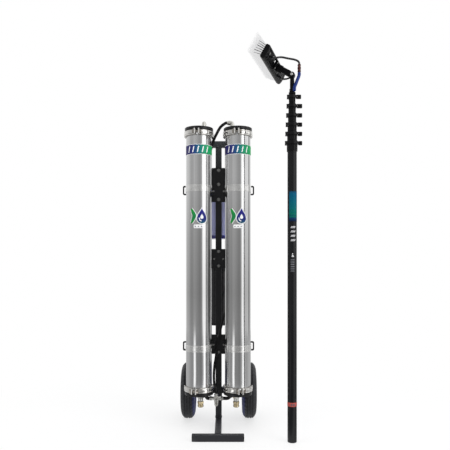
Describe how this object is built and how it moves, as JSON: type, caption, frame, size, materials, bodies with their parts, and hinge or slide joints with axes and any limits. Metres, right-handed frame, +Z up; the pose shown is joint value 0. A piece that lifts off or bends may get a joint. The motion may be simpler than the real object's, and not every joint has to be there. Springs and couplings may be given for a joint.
{
  "type": "window cleaning pole system",
  "caption": "Upright two-wheeled trolley with stainless pressure vessels and cartridge filters, and a telescopic pole with a hinged water-fed brush standing beside it.",
  "frame": {"origin": "on the ground directly under the trolley's post", "axes": "+Z up, -Y to the front where the vessels and the foot bar are, +X towards the side where the pole stands"},
  "size_m": [0.4685, 0.5638, 1.4478],
  "materials": {
    "frame_black": "satin powder coat",
    "bracket_black": "satin powder coat",
    "strap_black": "satin moulded",
    "vessel_steel": "brushed",
    "polished_steel": "polished",
    "fitting_steel": "nickel plate",
    "brass": "machined",
    "lever_steel": "nickel plate",
    "cap_black": "satin moulded",
    "membrane_white": "matte wrap",
    "hose_black": "satin",
    "hose_blue": "glossy polyurethane",
    "filter_head_blue": "glossy moulded",
    "sump_clear": "clear tinted plastic",
    "sump_black": "glossy moulded",
    "cartridge_white": "pleated",
    "rim_blue": "glossy moulded",
    "tyre_black": "matte tread",
    "carbon_black": "satin carbon composite",
    "clamp_black": "satin moulded",
    "stock_black": "satin moulded",
    "bristle_white": "flagged nylon filament",
    "connector_red": "moulded"
  },
  "bodies": {
    "cart": {"trolley_frame": "frame_black", "upper_vessel_bracket": "bracket_black", "lower_vessel_bracket": "bracket_black", "middle_filter_bracket": "bracket_black", "upper_strap_left": "strap_black", "upper_strap_right": "strap_black", "lower_strap_left": "strap_black", "lower_strap_right": "strap_black", "vessel_shell_left": "vessel_steel", "vessel_shell_right": "vessel_steel", "membrane_left": "membrane_white", "membrane_right": "membrane_white", "top_cap_left": "cap_black", "top_cap_right": "cap_black", "bottom_cap_left": "cap_black", "bottom_cap_right": "cap_black", "top_v_band_left": "polished_steel", "top_v_band_right": "polished_steel", "bottom_v_band_left": "polished_steel", "bottom_v_band_right": "polished_steel", "brass_coupler_left": "brass", "brass_coupler_right": "brass", "outlet_elbow_left": "fitting_steel", "inlet_elbow_right": "fitting_steel", "drain_tee": "fitting_steel", "top_hose": "hose_black", "feed_hose": "hose_black", "bottom_hose_left": "hose_black", "bottom_hose_right": "hose_black", "upper_filter_head": "filter_head_blue", "upper_filter_sump": "sump_clear", "upper_filter_cartridge": "cartridge_white", "lower_filter_head": "filter_head_blue", "lower_filter_sump": "sump_black"},
    "drain_valve": {"drain_valve_lever": "lever_steel"},
    "wheel_left": {"wheel_rim_left": "rim_blue", "tyre_left": "tyre_black"},
    "wheel_right": {"wheel_rim_right": "rim_blue", "tyre_right": "tyre_black"},
    "pole_base": {"pole_section_1": "carbon_black", "base_plug": "cap_black"},
    "section_2": {"pole_section_2": "carbon_black"},
    "section_3": {"pole_section_3": "carbon_black"},
    "section_4": {"pole_section_4": "carbon_black"},
    "section_5": {"pole_section_5": "carbon_black"},
    "section_6": {"pole_section_6": "carbon_black"},
    "section_7": {"pole_section_7": "carbon_black", "hose_connector": "connector_red", "pole_hose": "hose_blue"},
    "lever_1": {"clamp_lever_1": "clamp_black"},
    "lever_2": {"clamp_lever_2": "clamp_black"},
    "lever_3": {"clamp_lever_3": "clamp_black"},
    "lever_4": {"clamp_lever_4": "clamp_black"},
    "lever_5": {"clamp_lever_5": "clamp_black"},
    "lever_6": {"clamp_lever_6": "clamp_black"},
    "head": {"head_arm": "clamp_black", "brush_stock": "stock_black", "bristle_pack": "bristle_white", "upper_jet_hose": "hose_black", "lower_jet_hose": "hose_black"}
  },
  "joints": [
    {"name": "drain_valve_turn", "type": "hinge", "parent": "cart", "child": "drain_valve", "pos_m": [-0.0083, -0.0888, 0.12], "axis": [0, -1, 0], "range_deg": [0, 90]},
    {"name": "wheel_spin_left", "type": "hinge", "parent": "cart", "child": "wheel_left", "pos_m": [-0.1275, 0.08, 0.116], "axis": [1, 0, 0], "continuous": true},
    {"name": "wheel_spin_right", "type": "hinge", "parent": "cart", "child": "wheel_right", "pos_m": [0.1275, 0.08, 0.116], "axis": [1, 0, 0], "continuous": true},
    {"name": "pole_lift", "type": "slide", "parent": "cart", "child": "pole_base", "axis": [0, 0, 1], "range_m": [0, 0.4]},
    {"name": "section_2_slide", "type": "slide", "parent": "pole_base", "child": "section_2", "axis": [0, 0, 1], "range_m": [0, 0.92]},
    {"name": "section_3_slide", "type": "slide", "parent": "section_2", "child": "section_3", "axis": [0, 0, 1], "range_m": [0, 0.92]},
    {"name": "section_4_slide", "type": "slide", "parent": "section_3", "child": "section_4", "axis": [0, 0, 1], "range_m": [0, 0.92]},
    {"name": "section_5_slide", "type": "slide", "parent": "section_4", "child": "section_5", "axis": [0, 0, 1], "range_m": [0, 0.92]},
    {"name": "section_6_slide", "type": "slide", "parent": "section_5", "child": "section_6", "axis": [0, 0, 1], "range_m": [0, 0.92]},
    {"name": "section_7_slide", "type": "slide", "parent": "section_6", "child": "section_7", "axis": [0, 0, 1], "range_m": [0, 0.92]},
    {"name": "clamp_1_lever", "type": "hinge", "parent": "pole_base", "child": "lever_1", "pos_m": [0.24825, -0.238, 1.0943], "axis": [0, 0, -1], "range_deg": [0, 110]},
    {"name": "clamp_2_lever", "type": "hinge", "parent": "section_2", "child": "lever_2", "pos_m": [0.24975, -0.238, 1.1282], "axis": [0, 0, -1], "range_deg": [0, 110]},
    {"name": "clamp_3_lever", "type": "hinge", "parent": "section_3", "child": "lever_3", "pos_m": [0.25125, -0.238, 1.1621], "axis": [0, 0, -1], "range_deg": [0, 110]},
    {"name": "clamp_4_lever", "type": "hinge", "parent": "section_4", "child": "lever_4", "pos_m": [0.25275, -0.238, 1.196], "axis": [0, 0, -1], "range_deg": [0, 110]},
    {"name": "clamp_5_lever", "type": "hinge", "parent": "section_5", "child": "lever_5", "pos_m": [0.25425, -0.238, 1.2299], "axis": [0, 0, -1], "range_deg": [0, 110]},
    {"name": "clamp_6_lever", "type": "hinge", "parent": "section_6", "child": "lever_6", "pos_m": [0.25575, -0.238, 1.2638], "axis": [0, 0, -1], "range_deg": [0, 110]},
    {"name": "head_tilt", "type": "hinge", "parent": "section_7", "child": "head", "pos_m": [0.272, -0.238, 1.3438], "axis": [-0.2823, -0.9593, 0], "range_deg": [-50, 55], "deforming": ["upper_jet_hose", "lower_jet_hose"]}
  ]
}
